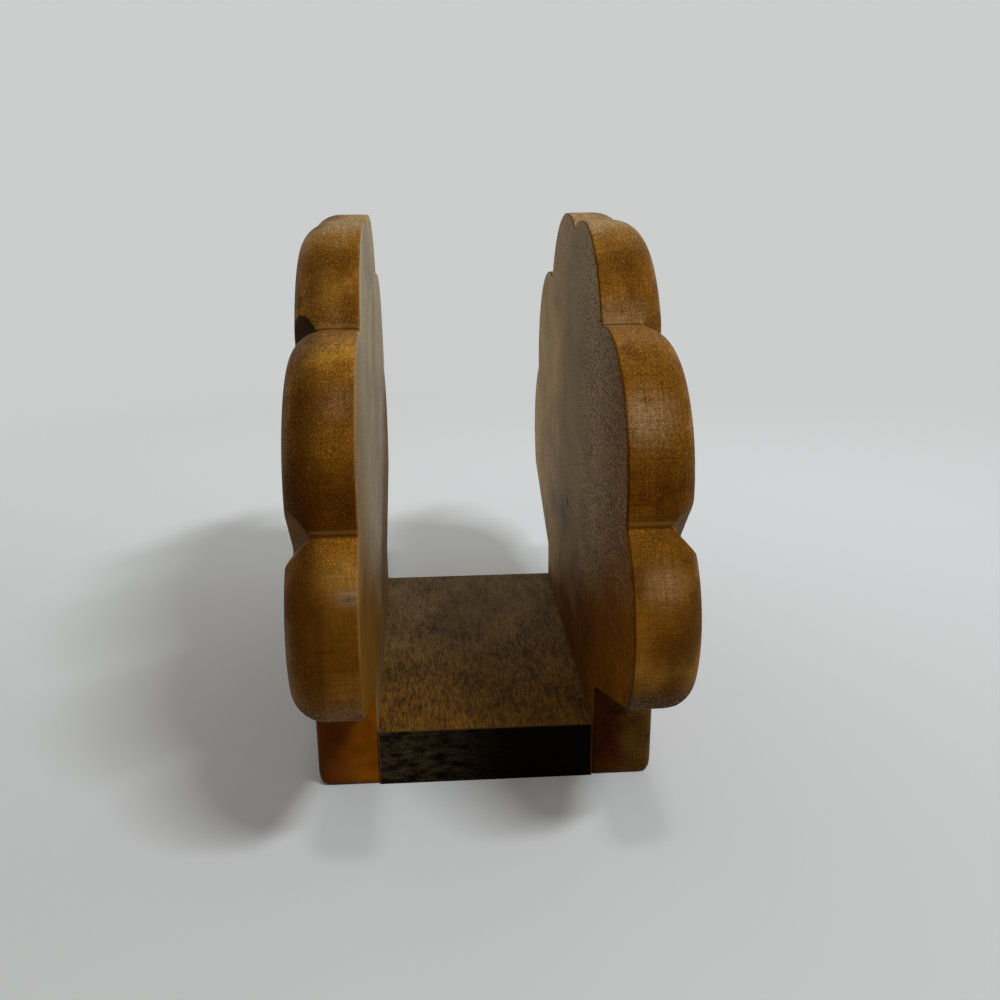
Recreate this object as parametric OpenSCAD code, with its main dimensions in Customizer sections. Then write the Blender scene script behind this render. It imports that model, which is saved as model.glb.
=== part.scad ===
// Upright wooden napkin holder: two scalloped side panels doweled and glued to a base board.
// The origin is the middle of the underside. The slot runs along Y, and -Y is the front.

/* [Slot] */
// Clear width between the two panels
slot_w = 44; // [36:0.5:60]

/* [Base] */
// Depth of the base board and of the panels' feet, front to back
base_d = 81.5; // [76:0.5:88]
// Thickness of the base board
base_t = 12.3; // [10:0.1:16]

/* [Panel] */
// Thickness of the board that each panel is sawn from
panel_t = 12.7; // [11:0.1:18]
// Height of the foot where the sloping underside leaves it
foot_h = 20.7; // [18:0.1:23]
// Slope of the underside, from the foot up to the lower lobe, in degrees
underside_slope = 22; // [18:1:26]
// Radius that eases the foot's outer edges
foot_edge_r = 2.5; // [1:0.1:4]

/* [Upper lobes] */
// Distance of the lobe's centre from the panel's middle
upper_lobe_y = 11.8; // [9:0.1:14]
// Height of the lobe's centre
upper_lobe_z = 82.4; // [80:0.1:85]
// Radius of the lobe
upper_lobe_r = 28.5; // [27:0.1:30]

/* [Middle lobes] */
// Distance of the lobe's centre from the panel's middle
middle_lobe_y = 43.8; // [42:0.1:46]
// Height of the lobe's centre
middle_lobe_z = 69.3; // [67:0.1:71]
// Radius of the lobe
middle_lobe_r = 25; // [23.5:0.1:26.5]

/* [Lower lobes] */
// Distance of the lobe's centre from the panel's middle
lower_lobe_y = 56.8; // [55:0.1:59]
// Height of the lobe's centre
lower_lobe_z = 46.6; // [45:0.1:48]
// Radius of the lobe
lower_lobe_r = 21.7; // [20.5:0.1:23]

/* [Rounded edge] */
// Radius of the rounding on the panel's outer edge
edge_r = 6.35; // [3:0.05:9]

/* [Grooves] */
// Length on the outer face of the V groove that runs in from each notch between two lobes
groove_run = 16.5; // [10:0.5:20]
// Depth of the groove below the outer face, at the notch
groove_depth = 4.8; // [2:0.1:6]
// Opening angle of the groove, in degrees
groove_angle = 100; // [80:1:120]

/* [Dowels] */
// Diameter of a dowel
dowel_d = 6; // [4:0.5:8]
// Depth that a dowel enters the panel
dowel_panel_depth = 8; // [5:0.5:9]
// Depth that a dowel enters the base board
dowel_base_depth = 14; // [8:0.5:16]
// Distance of a dowel's axis from the front or back end of the base board
dowel_inset = 18; // [10:0.5:30]
// Chamfer on each end of a dowel
dowel_chamfer = 0.6; // [0.2:0.1:1]
// Radial room for glue round a dowel
glue_gap = 0.05; // [0.02:0.01:0.1]
// Depth left for glue beyond each end of a dowel
dowel_end_gap = 0.5; // [0.2:0.1:1]

/* [Hidden] */
$fn = 180;
overrun = 1;
dowel_z = base_t / 2;
dowel_y = base_d / 2 - dowel_inset;

// In the panel's own plane, X is the front-to-back direction, Y is up and Z is outwards.
// Each lobe of one side, from the top down: its centre's X and Y, then its radius.
LOBES = [
    [upper_lobe_y, upper_lobe_z, upper_lobe_r],
    [middle_lobe_y, middle_lobe_z, middle_lobe_r],
    [lower_lobe_y, lower_lobe_z, lower_lobe_r]
];
lower_centre = [lower_lobe_y, lower_lobe_z];
foot_corner = [base_d / 2, foot_h];
underside_dir = [cos(underside_slope), sin(underside_slope)];
underside_out = [sin(underside_slope), -cos(underside_slope)];
// A point just below the underside, squarely under the lower lobe's centre
underside_run = (lower_centre - foot_corner) * underside_dir;
underside_low = foot_corner + underside_run * underside_dir + overrun * underside_out;
// Height at which the underside's rounding meets the line of the foot's end
shoulder_top = foot_h + edge_r / cos(underside_slope);

function centre(lobe) = [lobe[0], lobe[1]];
function radius(lobe) = lobe[2];
function mirrored(lobe) = [-lobe[0], lobe[1], lobe[2]];

// Direction from the line of two lobes' centres out to their notch, where b comes after a anticlockwise.
function outward(a, b) =
    let (along = (centre(b) - centre(a)) / norm(centre(b) - centre(a)))
    [along.y, -along.x];

// The point where the outlines of two lobes meet.
function notch(a, b) =
    let (
        gap = norm(centre(b) - centre(a)),
        along = (centre(b) - centre(a)) / gap,
        run = (radius(a) * radius(a) - radius(b) * radius(b) + gap * gap) / (2 * gap),
        rise = sqrt(radius(a) * radius(a) - run * run)
    )
    centre(a) + run * along + rise * outward(a, b);

// What rounding takes off a square corner, with the wood on its -X and -Y sides.
// The waste stops at the corner's X side, or runs past it.
module corner_waste(r, past = 0) {
    translate([-r, -r]) difference() {
        square([r + past, r + overrun]);
        circle(r);
    }
}

module rounded_lobe(lobe) {
    r = radius(lobe);
    translate(centre(lobe)) rotate_extrude() difference() {
        square([r, panel_t]);
        translate([r, panel_t]) corner_waste(edge_r, overrun);
    }
}

module half_lobes() {
    for (lobe = LOBES) rounded_lobe(lobe);
}

// The V groove between two lobes. It starts on the outer face and gets deeper towards the notch.
module groove(a, b) {
    way = outward(a, b);
    start = notch(a, b) - groove_run * way;
    slope = atan(groove_depth / groove_run);
    half_width = panel_t * tan(groove_angle / 2);
    length = groove_run / cos(slope) + 2 * edge_r;
    translate([start.x, start.y, panel_t])
        rotate([0, slope, atan2(way.y, way.x)])
            translate([-overrun, 0, 0])
                rotate([90, 0, 90])
                    linear_extrude(length + overrun)
                        polygon([[0, 0], [half_width, panel_t], [-half_width, panel_t]]);
}

module half_grooves() {
    for (i = [1 : len(LOBES) - 1]) groove(LOBES[i], LOBES[i - 1]);
}

// The flat middle of the panel, which joins the lobes' centres, with the foot below it.
module web() {
    side = concat([for (lobe = LOBES) centre(lobe)], [underside_low, foot_corner, [foot_corner.x, 0]]);
    last = len(side) - 1;
    linear_extrude(panel_t) polygon(concat(side, [for (i = [last : -1 : 0]) [-side[i].x, side[i].y]]));
}

// What is sawn away below one side's sloping underside, and rounded off its outer edge.
module underside_cut() {
    reach = lower_lobe_y + lower_lobe_r;
    intersection() {
        translate(foot_corner) rotate(underside_slope) {
            translate([-edge_r, -reach, -overrun]) cube([reach + edge_r, reach, panel_t + 2 * overrun]);
            translate([reach, 0, panel_t]) rotate([90, 0, -90]) linear_extrude(reach + edge_r) corner_waste(edge_r, overrun);
        }
        translate([foot_corner.x, -reach, -overrun]) cube([reach, 2 * reach, panel_t + 2 * overrun]);
    }
}

// The easing of the foot's outer upright edge on one side.
module upright_easing() {
    translate([foot_corner.x, shoulder_top, panel_t])
        rotate([90, 0, 0])
            linear_extrude(shoulder_top + overrun) corner_waste(foot_edge_r);
}

// The easing of the foot's outer bottom edge.
module bottom_easing() {
    translate([base_d / 2 + overrun, 0, panel_t])
        rotate([90, 0, -90])
            linear_extrude(base_d + 2 * overrun) corner_waste(foot_edge_r, overrun);
}

// One panel in its own plane, with its inner face at Z 0.
module panel() {
    difference() {
        union() {
            web();
            half_lobes();
            mirror([1, 0, 0]) half_lobes();
        }
        half_grooves();
        mirror([1, 0, 0]) half_grooves();
        groove(LOBES[0], mirrored(LOBES[0]));
        underside_cut();
        mirror([1, 0, 0]) underside_cut();
        upright_easing();
        mirror([1, 0, 0]) upright_easing();
        bottom_easing();
        for (end = [-1, 1])
            translate([end * dowel_y, dowel_z, -overrun])
                cylinder(d = dowel_d + 2 * glue_gap, h = dowel_panel_depth + dowel_end_gap + overrun);
    }
}

module right_panel() {
    color([0.55, 0.35, 0.13]) translate([slot_w / 2, 0, 0]) rotate([90, 0, 90]) panel();
}

module left_panel() {
    color([0.50, 0.31, 0.12]) mirror([1, 0, 0]) translate([slot_w / 2, 0, 0]) rotate([90, 0, 90]) panel();
}

module base_board() {
    depth = dowel_base_depth + dowel_end_gap;
    color([0.29, 0.20, 0.13]) difference() {
        translate([-slot_w / 2, -base_d / 2, 0]) cube([slot_w, base_d, base_t]);
        for (side = [-1, 1], end = [-1, 1])
            translate([side * (slot_w / 2 - depth), end * dowel_y, dowel_z])
                rotate([0, side * 90, 0])
                    cylinder(d = dowel_d + 2 * glue_gap, h = depth + overrun);
    }
}

// A dowel through the seam on one side, -1 for left, at one end, -1 for front.
module dowel(side, end) {
    r = dowel_d / 2;
    l = dowel_panel_depth + dowel_base_depth;
    c = dowel_chamfer;
    color([0.80, 0.66, 0.45])
        translate([side * (slot_w / 2 - dowel_base_depth), end * dowel_y, dowel_z])
            rotate([0, side * 90, 0])
                rotate_extrude() polygon([[0, 0], [r - c, 0], [r, c], [r, l - c], [r - c, l], [0, l]]);
}

left_panel();
right_panel();
base_board();
dowel(-1, -1);  // dowel_left_front
dowel(-1, 1);  // dowel_left_back
dowel(1, -1);  // dowel_right_front
dowel(1, 1);  // dowel_right_back
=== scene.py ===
"""Looks of the wooden napkin holder: camera, light, floor and procedural wood."""

import math

import bpy
from mathutils import Matrix, Vector

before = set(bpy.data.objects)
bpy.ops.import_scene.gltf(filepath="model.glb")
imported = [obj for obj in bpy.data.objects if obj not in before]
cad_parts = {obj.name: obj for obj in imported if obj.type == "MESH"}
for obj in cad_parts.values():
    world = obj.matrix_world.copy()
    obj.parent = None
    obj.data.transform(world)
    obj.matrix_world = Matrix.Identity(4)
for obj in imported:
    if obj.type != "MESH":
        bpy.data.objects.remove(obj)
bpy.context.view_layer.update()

MM = 0.001

# Camera
CAMERA_AT = Vector((-10.67, -234.5, 126.1)) * MM
CAMERA_YAW = math.radians(4.05)
CAMERA_PITCH = math.radians(18.45)
CAMERA_ROLL = math.radians(-0.26)
FOCAL_SHARE = 1.075
SENSOR = 36.0
CLIP_NEAR = 0.01
CLIP_FAR = 200


def make_camera():
    look = Vector((math.sin(CAMERA_YAW) * math.cos(CAMERA_PITCH),
                   math.cos(CAMERA_YAW) * math.cos(CAMERA_PITCH),
                   -math.sin(CAMERA_PITCH)))
    level = Vector((math.cos(CAMERA_YAW), -math.sin(CAMERA_YAW), 0))
    over = level.cross(look)
    right = math.cos(CAMERA_ROLL) * level + math.sin(CAMERA_ROLL) * over
    up = math.cos(CAMERA_ROLL) * over - math.sin(CAMERA_ROLL) * level
    data = bpy.data.cameras.new("camera")
    data.sensor_width = SENSOR
    data.lens = FOCAL_SHARE * SENSOR
    data.clip_start = CLIP_NEAR
    data.clip_end = CLIP_FAR
    camera = bpy.data.objects.new("camera", data)
    camera.matrix_world = Matrix((right, up, -look)).transposed().to_4x4()
    camera.location = CAMERA_AT
    bpy.context.scene.collection.objects.link(camera)
    bpy.context.scene.camera = camera


make_camera()


# Node graphs
BUMP_STRENGTH = 0.5


class Val:
    """A socket of a node tree, with arithmetic that adds Math nodes."""

    def __init__(self, graph, socket):
        self.graph = graph
        self.socket = socket

    def __add__(self, other): return self.graph.math("ADD", self, other)
    def __radd__(self, other): return self.graph.math("ADD", other, self)
    def __sub__(self, other): return self.graph.math("SUBTRACT", self, other)
    def __rsub__(self, other): return self.graph.math("SUBTRACT", other, self)
    def __mul__(self, other): return self.graph.math("MULTIPLY", self, other)
    def __rmul__(self, other): return self.graph.math("MULTIPLY", other, self)
    def __truediv__(self, other): return self.graph.math("DIVIDE", self, other)
    def __abs__(self): return self.graph.math("ABSOLUTE", self)


class Graph:
    """Short names for the nodes of one tree."""

    def __init__(self, tree):
        self.tree = tree
        self.tree.nodes.clear()

    def put(self, socket, value):
        if isinstance(value, Val):
            self.tree.links.new(value.socket, socket)
        else:
            socket.default_value = value

    def node(self, kind, **settings):
        made = self.tree.nodes.new(kind)
        for key, value in settings.items():
            setattr(made, key, value)
        return made

    def math(self, operation, *terms):
        made = self.node("ShaderNodeMath", operation=operation)
        for socket, term in zip(made.inputs, terms):
            self.put(socket, term)
        return Val(self, made.outputs[0])

    def low(self, a, b): return self.math("MINIMUM", a, b)
    def high(self, a, b): return self.math("MAXIMUM", a, b)

    def coords(self):
        """Place in the row frame, in millimetres."""
        place = self.node("ShaderNodeTexCoord").outputs["Object"]
        return self.tint(Val(self, place), 1 / MM)

    def normal(self):
        return Val(self, self.node("ShaderNodeNewGeometry").outputs["Normal"])

    def split(self, vector):
        made = self.node("ShaderNodeSeparateXYZ")
        self.put(made.inputs[0], vector)
        return [Val(self, s) for s in made.outputs]

    def join(self, x, y, z):
        made = self.node("ShaderNodeCombineXYZ")
        for socket, term in zip(made.inputs, (x, y, z)):
            self.put(socket, term)
        return Val(self, made.outputs[0])

    def scaled(self, vector, sizes, shift=(0, 0, 0)):
        """The vector counted in cells of the given sizes, in millimetres."""
        made = self.node("ShaderNodeMapping")
        self.put(made.inputs["Vector"], vector)
        made.inputs["Scale"].default_value = [1 / s for s in sizes]
        made.inputs["Location"].default_value = shift
        return Val(self, made.outputs[0])

    def noise(self, vector, sizes, shift=(0, 0, 0), detail=2.0, rough=0.5, distortion=0.0):
        """Soft noise about 0, from -1 to 1, with cells of the given sizes in millimetres."""
        made = self.node("ShaderNodeTexNoise", normalize=False)
        self.put(made.inputs["Vector"], self.scaled(vector, sizes, shift))
        made.inputs["Scale"].default_value = 1.0
        made.inputs["Detail"].default_value = detail
        made.inputs["Roughness"].default_value = rough
        made.inputs["Distortion"].default_value = distortion
        return Val(self, made.outputs[0])

    def step(self, value, start, end, low=0.0, high=1.0):
        """Smooth rise from low to high as the value goes from start to end."""
        made = self.node("ShaderNodeMapRange", interpolation_type="SMOOTHSTEP")
        for socket, term in zip(made.inputs, (value, start, end, low, high)):
            self.put(socket, term)
        return Val(self, made.outputs[0])

    def band(self, value, middle, half, soft):
        """1 where the value is within half of the middle, fading to 0 over the soft width."""
        return self.step(abs(value - middle), half + soft, half)

    def ramp(self, value, stops):
        """The colour at a value, between stops of a place and a colour each."""
        made = self.node("ShaderNodeValToRGB")
        self.put(made.inputs[0], value)
        elements = made.color_ramp.elements
        while len(elements) < len(stops):
            elements.new(0.5)
        for element, (place, colour) in zip(elements, stops):
            element.position = place
            element.color = (*colour, 1)
        return Val(self, made.outputs[0])

    def mix(self, share, a, b):
        """Colour a, with the share of colour b."""
        made = self.node("ShaderNodeMix", data_type="RGBA")
        for name, term in (("Factor_Float", share), ("A_Color", a), ("B_Color", b)):
            socket = next(s for s in made.inputs if s.identifier == name)
            if not isinstance(term, Val) and name != "Factor_Float":
                term = (*term, 1)
            self.put(socket, term)
        return Val(self, next(s for s in made.outputs if s.identifier == "Result_Color"))

    def tint(self, colour, amount):
        """The colour or vector times a number."""
        made = self.node("ShaderNodeVectorMath", operation="SCALE")
        self.put(made.inputs[0], colour)
        self.put(made.inputs["Scale"], amount)
        return Val(self, made.outputs[0])

    def bump(self, height, depth):
        """A normal that follows the height, with the given depth in millimetres."""
        made = self.node("ShaderNodeBump")
        self.put(made.inputs["Height"], height)
        made.inputs["Distance"].default_value = depth * MM
        made.inputs["Strength"].default_value = BUMP_STRENGTH
        return Val(self, made.outputs[0])


# Finish: the colour that the oil gives to a gleam, the gleam's strength, and the roughness
OILY = (1.0, 0.62, 0.25)
PANEL_GLEAM = 0.035
BASE_GLEAM = 0.04
DOWEL_GLEAM = 0.3
PANEL_ROUGHNESS = 0.55
FOOT_ROUGHNESS = 0.36
BASE_ROUGHNESS = 0.55
DOWEL_ROUGHNESS = 0.6
# Depth of the grain, in millimetres
PANEL_RELIEF = 0.05
BOARD_RELIEF = 0.1


def new_material(name):
    material = bpy.data.materials.new(name)
    material.use_nodes = True
    return material, Graph(material.node_tree)


def finish_material(g, colour, roughness, normal, gleam):
    shader = g.node("ShaderNodeBsdfPrincipled")
    g.put(shader.inputs["Base Color"], colour)
    g.put(shader.inputs["Roughness"], roughness)
    g.put(shader.inputs["Normal"], normal)
    shader.inputs["Specular IOR Level"].default_value = gleam
    shader.inputs["Specular Tint"].default_value = (*OILY, 1)
    out = g.node("ShaderNodeOutputMaterial")
    g.tree.links.new(shader.outputs[0], out.inputs["Surface"])


# The panels' lobes, in millimetres: the centre's distance from the middle, its height, the radius
UPPER_LOBE = (11.8, 82.4, 28.5)
MIDDLE_LOBE = (43.8, 69.3, 25.0)
LOWER_LOBE = (56.8, 46.6, 21.7)
MIRRORED_UPPER_LOBE = (-11.8, 82.4, 28.5)

# Other sizes of the solids, in millimetres
SLOT_HALF = 22.0
BASE_T = 12.3
PANEL_T = 12.7
FOOT_TOP = 20.7
FOOT_HALF = 40.75
GROOVE_RUN = 16.5
GROOVE_DEPTH = 4.8
# Half width of a groove for each millimetre of its depth
GROOVE_SPREAD = 1.19

# Linear colours of the stained panels
STRAW = (0.235, 0.145, 0.060)
TAN = (0.185, 0.098, 0.026)
SAND = (0.152, 0.070, 0.016)
GOLD = (0.205, 0.098, 0.011)
HONEY = (0.165, 0.070, 0.0090)
AMBER = (0.132, 0.052, 0.0045)
GOLDEN_BROWN = (0.108, 0.042, 0.0035)
DULL_BROWN = (0.108, 0.046, 0.006)
RED_BROWN = (0.118, 0.037, 0.001)
BROWN = (0.088, 0.032, 0.0022)
DARK_BROWN = (0.066, 0.020, 0.0010)
UMBER = (0.042, 0.012, 0.0008)

# Linear colours of bare wood and dirt; the dust colour also paints highlights and sheen, the soot
# colour also paints shade in a groove, and the worn colour paints a worn arris catching light
RUBBED = (0.27, 0.17, 0.075)
WORN_HIGHLIGHT = (0.24, 0.15, 0.08)
DUST_AND_SHEEN = (0.23, 0.16, 0.095)
FAWN = (0.160, 0.100, 0.055)
ASH = (0.14, 0.12, 0.09)
MAUVE = (0.14, 0.10, 0.09)
SAGE = (0.11, 0.115, 0.09)
PALE_SAGE = (0.17, 0.18, 0.14)
GRIME = (0.050, 0.032, 0.010)
SOOT_AND_SHADE = (0.010, 0.005, 0.002)


class LeftLook:
    """Stain and wear of the left panel."""
    side = -1

    # Stain round the upper, middle and lower lobe, by half turns from straight up
    stain = (
        [(0.05, STRAW), (0.11, TAN), (0.165, AMBER), (0.22, GOLDEN_BROWN), (0.29, HONEY),
         (0.34, HONEY), (0.40, TAN)],
        [(0.08, SAND), (0.14, GOLD), (0.19, AMBER), (0.25, BROWN), (0.36, GOLDEN_BROWN),
         (0.41, BROWN), (0.46, DARK_BROWN), (0.53, DARK_BROWN)],
        [(0.24, AMBER), (0.29, HONEY), (0.34, GOLDEN_BROWN), (0.39, BROWN), (0.44, BROWN),
         (0.50, BROWN), (0.57, AMBER), (0.67, SAND), (0.74, DARK_BROWN)])
    # Darkening where the edge's rounding starts, low and high on the panel
    rounding_shade = (0.30, 0.46)
    # Grime, dark bands, a light patch, a smudge with a scratch, and a painted highlight on the
    # edge: centre, half sizes, colour, strength
    marks = (
        ((-32.0, -68.5, 74.0), (3.2, 10, 18.0), UMBER, 0.75),
        ((-30.6, -66.5, 62.5), (3.0, 9, 5.0), UMBER, 0.85),
        ((-32.4, -74.0, 58.5), (3.4, 10, 9.0), DARK_BROWN, 0.80),
        ((-30.3, -77.5, 44.0), (5.5, 10, 13.0), DARK_BROWN, 0.75),
        ((-28.6, -77.5, 46.0), (1.3, 10, 14.0), UMBER, 0.50),
        ((-24.5, -74.5, 59.0), (4.6, 10, 6.0), TAN, 0.35),
        ((-23.5, -75.6, 57.2), (3.4, 8, 1.8), ASH, 0.35),
        ((-23.5, -75.6, 56.9), (2.2, 8, 0.5), SOOT_AND_SHADE, 0.45),
        # a painted highlight on the middle lobe, in the dust colour
        ((-25, -62.5, 86.0), (5, 8, 5.0), DUST_AND_SHEEN, 0.12))
    # Specks that are missing round the lower notches, and the strength of the saw lines
    clean_share = 0.7
    line_share = 0.13
    # Dirt in the front's upper and lower groove; the near black in the upper one is painted shade,
    # with some burn
    upper_dirt_and_shade = SOOT_AND_SHADE
    lower_dirt = RED_BROWN

    # Inner face: where amber gives way to the pale part, and the colours of both and of the front;
    # the pale part's grey tone is partly the wood's own and partly a painted grazing sheen
    amber_at_back = True
    amber_fade = (19, 42)
    amber_face = (0.165, 0.072, 0.008)
    pale_face_with_sheen = (0.345, 0.285, 0.180)
    end_face = (0.250, 0.160, 0.068)
    # Its brightness at the back, and from that height up, and the share rubbed bare at the bottom
    back_share = 1.0
    top_height = 95
    top_share = 1.2
    rubbed_share = 0.6
    # Its marks, its flecks at the middle and the front with their fading low down, and its streaks
    face_marks = ()
    fleck_share = (0.45, 0.45)
    fleck_fade = 0.0
    fleck_most = 0.14
    streak_share = 0.35

    # Foot: its colours towards the outside and the slot, and its specks
    foot_outside = (0.100, 0.024, 0.0025)
    foot_by_slot = (0.165, 0.047, 0.0010)
    foot_grit = 0.15

    # Worn arris towards the slot, with a painted highlight along it: where its width fades, the
    # heights over which it comes in going up, its strength and its colour
    arris_width = (0.45, 0.15)
    arris_heights = (38, 55)
    arris_share = 0.5
    arris_highlight_and_shade = WORN_HIGHLIGHT


class RightLook:
    """Stain and wear of the right panel, by the same names."""
    side = 1

    stain = (
        [(0.05, STRAW), (0.11, TAN), (0.17, HONEY), (0.22, AMBER), (0.34, AMBER), (0.40, TAN)],
        [(0.08, SAND), (0.14, HONEY), (0.19, AMBER), (0.25, GOLDEN_BROWN), (0.36, GOLDEN_BROWN),
         (0.42, BROWN), (0.47, DARK_BROWN), (0.54, BROWN)],
        [(0.28, GOLDEN_BROWN), (0.34, AMBER), (0.40, GOLDEN_BROWN), (0.50, AMBER), (0.56, HONEY),
         (0.62, AMBER), (0.68, GRIME), (0.74, DARK_BROWN)])
    rounding_shade = (0.16, 0.16)
    marks = (
        ((26, -37.5, 95.0), (9, 9, 6.5), FAWN, 0.45),
        # the next two marks are painted highlights on the middle and lower lobe, in the dust colour
        ((26, -64.5, 83.0), (7, 9, 7.5), DUST_AND_SHEEN, 0.36),
        ((27, -75.6, 57.5), (7, 9, 5.0), DUST_AND_SHEEN, 0.20),
        ((24, -77.0, 34.0), (9, 9, 7.0), GRIME, 0.75))
    clean_share = 0.5
    line_share = 0.20
    upper_dirt_and_shade = AMBER
    lower_dirt = DULL_BROWN

    amber_at_back = False
    amber_fade = (17, 37)
    amber_face = (0.165, 0.054, 0.002)
    pale_face_with_sheen = (0.360, 0.250, 0.125)
    end_face = (0.195, 0.098, 0.032)
    back_share = 1.5
    top_height = 92
    top_share = 0.82
    rubbed_share = 0.1
    face_marks = (
        ((22, 9, 39.5), (3, 11, 8.0), SAGE, 0.60),
        ((22, 27, 37.0), (3, 16, 9.0), PALE_SAGE, 0.45),
        ((22, 3, 45.8), (2, 3.4, 1.7), SOOT_AND_SHADE, 0.95),
        ((22, -8, 35.0), (2, 5.0, 3.0), MAUVE, 0.60),
        ((22, -74.5, 31.0), (3, 6.0, 9.0), GRIME, 0.85))
    fleck_share = (0.5, 2.8)
    fleck_fade = 0.7
    fleck_most = 0.20
    streak_share = 0.8

    foot_outside = (0.062, 0.028, 0.0040)
    foot_by_slot = (0.041, 0.0078, 0.0006)
    foot_grit = 0.7

    # the arris here is a dark line of painted shade
    arris_width = (0.65, 0.25)
    arris_heights = (18, 30)
    arris_share = 0.8
    arris_highlight_and_shade = UMBER


def joint(a, b):
    """Direction from lobe a's centre to lobe b's, and the distance that way to their mitre."""
    gap = math.dist(a[:2], b[:2])
    way = ((b[0] - a[0]) / gap, (b[1] - a[1]) / gap)
    return way, (a[2] ** 2 - b[2] ** 2 + gap ** 2) / (2 * gap)


def past_mitre(a, b, y, z):
    """How far, in millimetres, a place lies beyond the mitre between two lobes, on b's side."""
    way, run = joint(a, b)
    return y * way[0] + z * way[1] - (a[0] * way[0] + a[1] * way[1] + run)


def in_groove(g, a, b, y, z, depth):
    """1 on the facets of the V groove between two lobes, else 0, and how far in from its notch."""
    way, run = joint(a, b)
    rise = math.sqrt(a[2] ** 2 - run ** 2)
    notch = (a[0] + run * way[0] - rise * way[1], a[1] + run * way[1] + rise * way[0])
    inwards = (notch[0] - y) * -way[1] + (notch[1] - z) * way[0]
    floor_depth = PANEL_T - GROOVE_DEPTH + inwards * (GROOVE_DEPTH / GROOVE_RUN)
    half_width = (depth - floor_depth) * GROOVE_SPREAD
    return g.step(abs(past_mitre(a, b, y, z)) - half_width, 0.3, 0.1), inwards


def turn(g, lobe, y, z):
    """Angle of a place round the lobe's centre, in half turns: 0 is straight up, 0.5 is level."""
    return g.math("ARCTAN2", y - lobe[0], z - lobe[1]) / math.pi


def spot(g, place, centre, sizes):
    """1 at the centre, falling to 0 at the given half sizes, in millimetres."""
    made = g.node("ShaderNodeVectorMath", operation="SUBTRACT")
    g.put(made.inputs[0], place)
    made.inputs[1].default_value = centre
    away = g.node("ShaderNodeVectorMath", operation="LENGTH")
    g.put(away.inputs[0], g.scaled(Val(g, made.outputs[0]), sizes))
    return g.step(Val(g, away.outputs["Value"]), 1.0, 0.0)


class Place:
    """Where a point of a panel lies, in millimetres, and the noises that its surfaces share."""

    def __init__(self, g, side):
        self.g = g
        self.p = g.coords()
        self.x, self.y, self.z = g.split(self.p)
        self.off = abs(self.y)
        self.depth = abs(self.x) - SLOT_HALF
        across, _, _ = g.split(g.normal())
        self.inner = g.step(across * -side, 0.7, 0.95)
        self.outer = g.step(across * side, 0.93, 0.995)
        self.past_upper = past_mitre(UPPER_LOBE, MIDDLE_LOBE, self.off, self.z)
        self.past_middle = past_mitre(MIDDLE_LOBE, LOWER_LOBE, self.off, self.z)
        self.seed = (side * 5.0, 0, 3.0)
        self.mottle = self.noise((5, 6, 5), distortion=0.4)
        self.broad = self.noise((9, 12, 10), detail=1.5, rough=0.45)
        self.cloud = self.noise((12, 20, 12), detail=3.0, rough=0.55, distortion=0.4)
        self.patchy = self.noise((1.1, 2.0, 0.9), rough=0.6)
        self.fine = self.noise((0.26, 0.7, 0.26), rough=0.8)
        self.pore = self.noise((0.26, 0.8, 0.33), detail=1.0, rough=0.7)
        self.saw = self.noise((6.0, 0.5, 0.4), detail=1.0)

    def noise(self, sizes, **settings):
        return self.g.noise(self.p, sizes, self.seed, **settings)


def marked(g, at, surface, marks, unevenness=0.0):
    """The surface's colour with the marks on it."""
    for centre, sizes, colour, most in marks:
        share = most * spot(g, at.p, centre, sizes) * (1 + unevenness * at.mottle)
        surface = g.mix(share, surface, colour)
    return surface


def edge_stain(g, at, look):
    """The stain of the lobes' edges, by the lobe and the place round it, with its marks."""
    wander = 0.045 * at.mottle
    upper, middle, lower = [
        g.ramp(turn(g, lobe, at.off, at.z) + wander, stops)
        for lobe, stops in zip((UPPER_LOBE, MIDDLE_LOBE, LOWER_LOBE), look.stain)]
    edge = g.mix(g.step(at.past_upper, -0.15, 0.15), upper, middle)
    edge = g.mix(g.step(at.past_middle, -0.15, 0.15), edge, lower)

    # darker where the rounding starts, and paler where it ends on the outer face, which is a
    # painted sheen
    begun = at.depth + 1.5 * at.mottle
    rounding = (g.step(begun, 4.2, 8.8) * g.step(begun, 11.2, 9.2)
                * g.step(turn(g, UPPER_LOBE, at.off, at.z), 0.14, 0.26))
    edge = g.tint(edge, 1 - g.step(at.z, 50, 62, *look.rounding_shade) * rounding)
    edge = g.mix(0.28 * g.step(begun, 10.8, 12.6), edge, DUST_AND_SHEEN)
    return marked(g, at, edge, look.marks, 0.4)


def edge_grain(g, at, look, edge):
    """The edge with the specks of the grain's ends, saw lines across it and lines round it."""
    edge = g.mix(g.step(at.broad + 0.3 * at.mottle, 0.05, -0.6, 0.0, 0.5), edge, DARK_BROWN)
    grit = 1.1 - look.clean_share * g.band(at.z, 50, 8, 7) + g.step(at.z, 38, 30, 0.0, 0.9)
    lines = at.saw + at.noise((0.45, 6.0, 6.0), detail=1.0)
    texture = (0.98 + 1.1 * grit * g.high(at.fine, -0.16) + 0.10 * at.patchy
               + (look.line_share + 0.3 * at.broad) * lines + 0.10 * at.mottle + 0.30 * at.broad)
    edge = g.tint(edge, g.high(texture, 0.3))

    # dusty specks on a darker ground, low on the lobes
    low = g.step(at.z + 3 * at.mottle, 41, 31)
    specks = 0.7 * low * g.step(at.fine + 0.2 * at.mottle, 0.0, 0.25)
    return g.mix(specks, g.tint(edge, 1 - 0.4 * low), DUST_AND_SHEEN)


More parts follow.
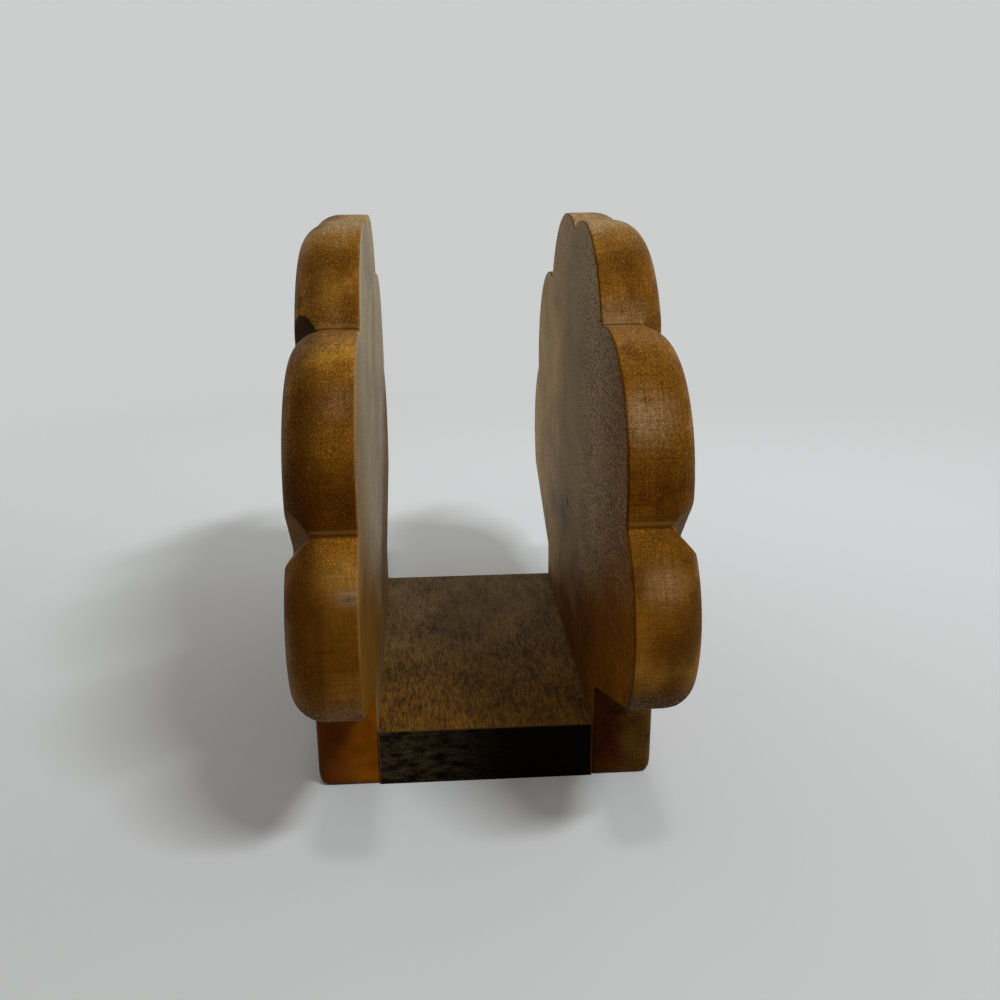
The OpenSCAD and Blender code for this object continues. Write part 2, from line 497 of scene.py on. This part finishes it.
def groove_dirt_and_shade(g, at, look, edge):
    """The edge with a light and a dark line where two lobes meet, and dirt and painted shade in the
    grooves.
    """
    for past in (at.past_upper, at.past_middle):
        edge = g.mix(0.35 * g.band(past, -0.7, 0.12, 0.25), edge, TAN)
        edge = g.mix(0.75 * g.band(past, 0.0, 0.12, 0.25), edge, UMBER)
    # near the front notch the groove takes its own colour, which in the left panel's upper groove
    # is painted shade with some burn; further in it is golden brown
    front = g.step(at.y, 10, -10)
    for a, b, y, dirt_and_shade in ((MIRRORED_UPPER_LOBE, UPPER_LOBE, at.y, GOLDEN_BROWN),
                          (UPPER_LOBE, MIDDLE_LOBE, at.off, look.upper_dirt_and_shade),
                          (MIDDLE_LOBE, LOWER_LOBE, at.off, look.lower_dirt)):
        facet, inwards = in_groove(g, a, b, y, at.z, at.depth)
        dirt_and_shade = g.mix(front * g.step(inwards + 2 * at.mottle, 8, 3), GOLDEN_BROWN, dirt_and_shade)
        edge = g.mix(0.9 * facet, edge, g.tint(dirt_and_shade, 1 + 0.9 * at.fine + 0.4 * at.patchy))
    return edge


def inner_face(g, at, look):
    """The face towards the slot: pale above, partly with a painted sheen, amber low down towards
    the ends.
    """
    reach = at.off if look.amber_at_back else g.high(0 - at.y, -20)
    above = g.step(at.z - 0.47 * reach + 5 * at.cloud, *look.amber_fade)
    high_face = g.mix(g.step(10 * at.cloud - at.y, 28, 62), look.pale_face_with_sheen, look.end_face)
    high_face = g.tint(high_face, g.step(at.y, -5, 35, 1.0, look.back_share)
                       * g.step(at.z, 70, look.top_height, 1.0, look.top_share))
    low_face = g.mix(g.step(at.z, 27, 15, 0.0, look.rubbed_share), look.amber_face, RUBBED)
    face = marked(g, at, g.mix(above, low_face, high_face), look.face_marks)

    flecks = g.step(at.y, -4, -40, *look.fleck_share) * (1 - look.fleck_fade * (1 - above))
    streak = g.noise(g.join(at.x, at.y + at.z, at.y - at.z), (1.0, 8.0, 0.7), at.seed, rough=0.6)
    texture = (1.02 + flecks * g.low(at.pore, look.fleck_most) + 0.25 * at.cloud
               + look.streak_share * (1 - above) * streak)
    return g.tint(face, g.high(texture, 0.3))


def outer_face(g, at):
    """The outer face, where the grain runs from front to back."""
    figure = at.noise((14, 75, 16), distortion=0.5)
    rings = g.math("SINE", 0.55 * at.z + 16 * figure)
    grain = at.noise((0.5, 16.0, 0.45), rough=0.6)
    face = g.mix(0.5 + 0.38 * rings + 0.3 * grain, HONEY, GOLDEN_BROWN)
    return g.tint(face, 1.02 + 0.4 * at.pore + 0.35 * grain + 0.25 * at.cloud)


def foot_face(g, at, look):
    """The foot's ends, smooth and dark."""
    by_slot = g.step(at.depth + 1.6 * at.mottle + 0.1 * (at.z - 10), 9.0, 3.0)
    foot = g.mix(by_slot, look.foot_outside, look.foot_by_slot)
    return g.tint(foot, 0.95 + 0.45 * at.mottle + look.foot_grit * at.fine)


def panel_wood(name, look):
    material, g = new_material(name)
    at = Place(g, look.side)
    edge = edge_grain(g, at, look, edge_stain(g, at, look))
    edge = groove_dirt_and_shade(g, at, look, edge)
    on_foot = g.low(g.step(at.z, FOOT_TOP + 0.3, FOOT_TOP - 0.3),
                    g.step(at.off, FOOT_HALF - 3.2, FOOT_HALF - 2.2))
    colour = g.mix(on_foot, edge, foot_face(g, at, look))
    colour = g.mix(at.inner, colour, inner_face(g, at, look))
    colour = g.mix(at.outer, colour, outer_face(g, at))

    # the worn arris towards the slot, a painted highlight on the left panel and painted shade on
    # the right
    beside_slot = g.low(g.step(at.depth, *look.arris_width), 1 - at.inner)
    arris = beside_slot * g.step(at.z, *look.arris_heights)
    colour = g.mix(look.arris_share * arris, colour, look.arris_highlight_and_shade)

    roughness = g.step(on_foot, 0, 1, PANEL_ROUGHNESS, FOOT_ROUGHNESS)
    finish_material(g, colour, roughness, g.bump(at.fine + 0.5 * at.saw, PANEL_RELIEF), PANEL_GLEAM)
    return material


# Linear colours of the base board: its top at the front and the back, the back paler with a painted
# sheen, the dashes on it, its ends, its worn arris with a painted highlight and the glue in the
# seams
TOP_FRONT = (0.098, 0.044, 0.0055)
TOP_BACK_WITH_SHEEN = (0.126, 0.081, 0.034)
TOP_DASH = (0.052, 0.021, 0.0055)
END_BLACK = (0.0009, 0.0005, 0.0002)
END_OLIVE = (0.032, 0.021, 0.0105)
BASE_ARRIS_WEAR_AND_HIGHLIGHT = (0.11, 0.06, 0.02)
GLUE = (0.10, 0.05, 0.018)


def base_wood():
    material, g = new_material("base_walnut")
    p = g.coords()
    x, y, z = g.split(p)
    _, _, upwards = g.split(g.normal())

    # the top, with a stronger grain towards the front, and paler and greyer towards the back with a
    # painted sheen
    fibre = g.noise(p, (0.35, 2.2, 0.35), rough=0.7)
    dash = g.noise(p, (0.9, 5.0, 0.9), (4, 0, 2), rough=0.6)
    cloud = g.noise(p, (7, 12, 7), (1, 2, 3))
    blot = g.noise(p, (1.8, 5.0, 1.8), (6, 1, 0), rough=0.6)
    strong = g.step(y, 30, -25, 0.45, 1.0)
    top = g.mix(g.step(y, -38, 35), TOP_FRONT, TOP_BACK_WITH_SHEEN)
    top = g.mix(strong * g.step(dash, 0.1, -0.5, 0.0, 0.8), top, TOP_DASH)
    texture = 1.02 + 0.2 * strong + 0.9 * strong * fibre + 0.4 * cloud + 0.35 * blot
    top = g.tint(top, g.high(texture, 0.3))

    # the ends, almost black, with an olive smear towards the left
    smear = g.noise(p, (3.6, 3.6, 1.3), (2, 0, 5), rough=0.6)
    olive = g.step(x + 6 * smear, 8, -14) * g.step(smear, -0.7, 0.8)
    end = g.mix(olive, END_BLACK, END_OLIVE)
    end = g.tint(end, g.high(1.0 + 0.8 * g.noise(p, (0.5, 0.5, 0.4), rough=0.6), 0.2))
    # a light line along the top arris of the ends: wear with a painted highlight
    end = g.mix(0.6 * g.band(z, BASE_T, 0.15, 0.25), end, BASE_ARRIS_WEAR_AND_HIGHLIGHT)

    colour = g.mix(g.step(upwards, 0.6, 0.9), end, top)
    colour = g.mix(0.6 * g.band(abs(x), SLOT_HALF, 0.12, 0.2), colour, GLUE)
    finish_material(g, colour, BASE_ROUGHNESS, g.bump(fibre + 0.5 * dash, BOARD_RELIEF), BASE_GLEAM)
    return material


DOWEL_DARK = (0.39, 0.22, 0.09)
DOWEL_PALE = (0.67, 0.46, 0.24)


def dowel_wood():
    material, g = new_material("dowel_beech")
    fibre = g.noise(g.coords(), (6.0, 0.4, 0.4), rough=0.6)
    colour = g.ramp(0.5 + 0.5 * fibre, [(0.2, DOWEL_DARK), (0.8, DOWEL_PALE)])
    finish_material(g, colour, DOWEL_ROUGHNESS, g.bump(fibre, BOARD_RELIEF), DOWEL_GLEAM)
    return material


# Wear of the panels' arrises: the size of the remesh's cells, then rounds of smoothing
WEAR_CELL = 0.6 * MM
WEAR_FACTOR = 0.5
WEAR_ROUNDS = 2


def dress(node, material):
    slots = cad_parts[node].data.materials
    slots.clear()
    slots.append(material)


def soften(node):
    """Wears the node's sharp edges a little."""
    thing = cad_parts[node]
    remesh = thing.modifiers.new("even_mesh", "REMESH")
    remesh.mode = "VOXEL"
    remesh.voxel_size = WEAR_CELL
    remesh.use_smooth_shade = True
    smooth = thing.modifiers.new("worn_edges", "SMOOTH")
    smooth.factor = WEAR_FACTOR
    smooth.iterations = WEAR_ROUNDS


for node in ("left_panel", "right_panel"):
    soften(node)
dress("left_panel", panel_wood("left_panel_wood", LeftLook))
dress("right_panel", panel_wood("right_panel_wood", RightLook))
dress("base_board", base_wood())
dowel = dowel_wood()
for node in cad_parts:
    if node.startswith("dowel"):
        dress(node, dowel)


# Floor and light
PAPER = (0.60, 0.615, 0.61)
NEAR_PAPER = (0.49, 0.495, 0.49)
FAR_PAPER = (0.78, 0.82, 0.83)
FLOOR_REACH = 60.0
# Places from front to back, in millimetres, between which the near paper turns into the far one
PAPER_TURN = (-160, 260)
# Distances from the middle, in millimetres, between which the lit floor fades into the backdrop
FADE = (160, 420)
SOFTBOX_AT = Vector((254, -329, 560)) * MM
SOFTBOX_SIZE = (0.20, 0.045)
SOFTBOX_WATTS = 2.9
SOFTBOX_TINT = (0.96, 1.0, 1.04)
TOP_LIGHT_FROM = Vector((0, -0.31, 1))
TOP_LIGHT_STRENGTH = 0.45
TOP_LIGHT_ANGLE = math.radians(7)
WARM_AIR = (1.03, 0.98, 0.91)
# Light of the air from the front and from the back, and what it has more from above
AIR_FRONT = 0.22
AIR_BACK = 0.42
AIR_ABOVE = 0.08


def seen_rays(g):
    """1 for rays that show the backdrop: straight from the camera, by a gleam or through glass."""
    rays = g.node("ShaderNodeLightPath").outputs
    straight = Val(g, rays["Is Camera Ray"])
    gleam = Val(g, rays["Is Glossy Ray"])
    through = Val(g, rays["Is Transmission Ray"])
    return g.high(straight, g.high(gleam, through))


def blend_shaders(g, share, a, b, output):
    """Sends shader a, with the share of shader b, to an output node of the given kind."""
    both = g.node("ShaderNodeMixShader")
    g.put(both.inputs[0], share)
    g.tree.links.new(a.outputs[0], both.inputs[1])
    g.tree.links.new(b.outputs[0], both.inputs[2])
    g.tree.links.new(both.outputs[0], g.node(output).inputs["Surface"])


def make_floor():
    mesh = bpy.data.meshes.new("floor")
    corners = ((-1, -1), (1, -1), (1, 1), (-1, 1))
    places = [(FLOOR_REACH * u, FLOOR_REACH * v, 0) for u, v in corners]
    mesh.from_pydata(places, [], [(0, 1, 2, 3)])
    floor = bpy.data.objects.new("floor", mesh)
    bpy.context.scene.collection.objects.link(floor)
    material, g = new_material("floor_paint")
    x, y, _ = g.split(g.coords())
    paint = g.node("ShaderNodeBsdfDiffuse")
    g.put(paint.inputs["Color"], g.mix(g.step(y, *PAPER_TURN), NEAR_PAPER, FAR_PAPER))
    glow = g.node("ShaderNodeEmission")
    glow.inputs["Color"].default_value = (*PAPER, 1)
    away = g.math("SQRT", x * x + y * y)
    blend_shaders(g, g.step(away, *FADE) * seen_rays(g), paint, glow, "ShaderNodeOutputMaterial")
    mesh.materials.append(material)


def make_top_light():
    """A faint light from above, a little to the front."""
    data = bpy.data.lights.new("top_light", "SUN")
    data.energy = TOP_LIGHT_STRENGTH
    data.angle = TOP_LIGHT_ANGLE
    lamp = bpy.data.objects.new("top_light", data)
    lamp.rotation_mode = "QUATERNION"
    lamp.rotation_quaternion = TOP_LIGHT_FROM.to_track_quat("Z", "Y")
    bpy.context.scene.collection.objects.link(lamp)


def make_softbox():
    """The key light, above the front right and close enough for its shadows to spread."""
    data = bpy.data.lights.new("softbox", "AREA")
    data.shape = "RECTANGLE"
    data.size = SOFTBOX_SIZE[0]
    data.size_y = SOFTBOX_SIZE[1]
    data.energy = SOFTBOX_WATTS
    data.color = SOFTBOX_TINT
    lamp = bpy.data.objects.new("softbox", data)
    lamp.location = SOFTBOX_AT
    lamp.rotation_mode = "QUATERNION"
    lamp.rotation_quaternion = SOFTBOX_AT.to_track_quat("Z", "Y")
    lamp.visible_camera = False
    bpy.context.scene.collection.objects.link(lamp)


def make_world():
    world = bpy.data.worlds.new("studio")
    bpy.context.scene.world = world
    world.use_nodes = True
    g = Graph(world.node_tree)
    _, ahead, upwards = g.split(Val(g, g.node("ShaderNodeTexCoord").outputs["Generated"]))
    lit = g.node("ShaderNodeBackground")
    lit.inputs["Color"].default_value = (*WARM_AIR, 1)
    level_light = g.step(ahead, -0.7, 0.7, AIR_FRONT, AIR_BACK)
    g.put(lit.inputs["Strength"], level_light + g.step(upwards, 0.2, 1.0, 0.0, AIR_ABOVE))
    seen = g.node("ShaderNodeBackground")
    seen.inputs["Color"].default_value = (*PAPER, 1)
    blend_shaders(g, seen_rays(g), lit, seen, "ShaderNodeOutputWorld")


make_floor()
make_softbox()
make_top_light()
make_world()
bpy.context.scene.view_settings.view_transform = "Standard"
